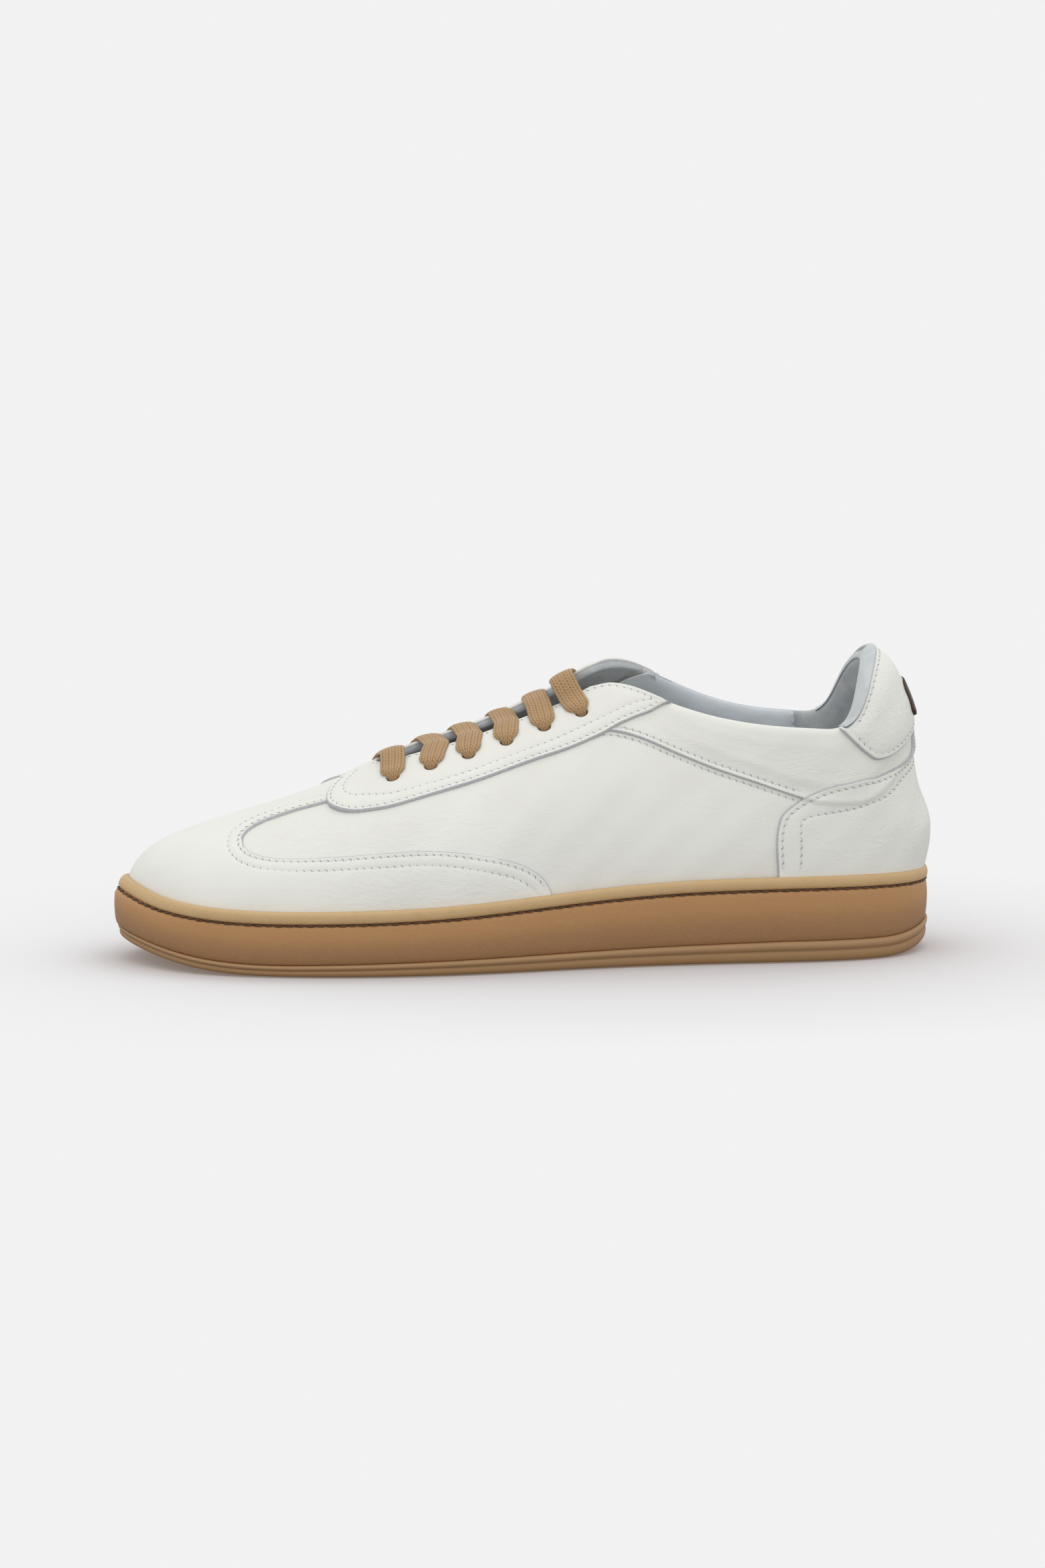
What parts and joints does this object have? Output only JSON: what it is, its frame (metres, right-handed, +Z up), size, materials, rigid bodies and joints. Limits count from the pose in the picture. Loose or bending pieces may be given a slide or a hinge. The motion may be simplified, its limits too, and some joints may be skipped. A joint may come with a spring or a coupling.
{
  "type": "court shoe",
  "caption": "Low-cut left court shoe with gum cup sole, overlaid leather upper, punched eyestay, flat straight-bar lace and a hinged padded tongue.",
  "frame": {"origin": "on the ground under the middle of the outsole's length", "axes": "+X toward the toe, +Y toward the outer (lateral) side, +Z up"},
  "size_m": [0.301, 0.1079, 0.111],
  "materials": {
    "gum_tread": "matt moulded gum rubber",
    "gum_wall": "fine grained gum rubber, slightly translucent",
    "brown_thread": "waxed sole thread",
    "foam": "open cell foam",
    "fibre_board": "pressed fibre board",
    "footbed_foam": "cloth covered foam",
    "white_leather": "smooth full grain leather",
    "stiffener": "thermoplastic stiffener",
    "brown_leather": "dark brown leather",
    "grey_suede": "brushed suede",
    "grey_lining": "soft lining leather",
    "tan_lace": "flat braided cotton",
    "lace_tip": "clear plastic wrap over the braid"
  },
  "bodies": {
    "shoe": {"outsole": "gum_tread", "cupsole": "gum_wall", "sole_stitch": "brown_thread", "midsole_filler": "foam", "insole_board": "fibre_board", "footbed": "footbed_foam", "toe_overlay": "white_leather", "toe_puff": "stiffener", "side_panel_lateral": "white_leather", "side_panel_medial": "white_leather", "collar_panel_lateral": "white_leather", "collar_panel_medial": "white_leather", "heel_counter": "stiffener", "heel_overlay": "white_leather", "heel_tab": "white_leather", "heel_badge": "brown_leather", "eyestay": "white_leather", "eyestay_lining": "grey_suede", "vamp_lining": "grey_lining", "quarter_lining_lateral": "grey_lining", "quarter_lining_medial": "grey_lining", "heel_lining": "grey_suede", "collar_padding": "foam", "lace": "tan_lace", "lace_tip_rear": "lace_tip", "lace_tip_front": "lace_tip"},
    "tongue": {"tongue_face": "white_leather", "tongue_padding": "foam", "tongue_lining": "grey_lining"}
  },
  "joints": [
    {"name": "tongue_hinge", "type": "hinge", "parent": "shoe", "child": "tongue", "pos_m": [0.054, 0, 0.0635], "axis": [0, 1, 0], "range_deg": [-20, 2]}
  ]
}
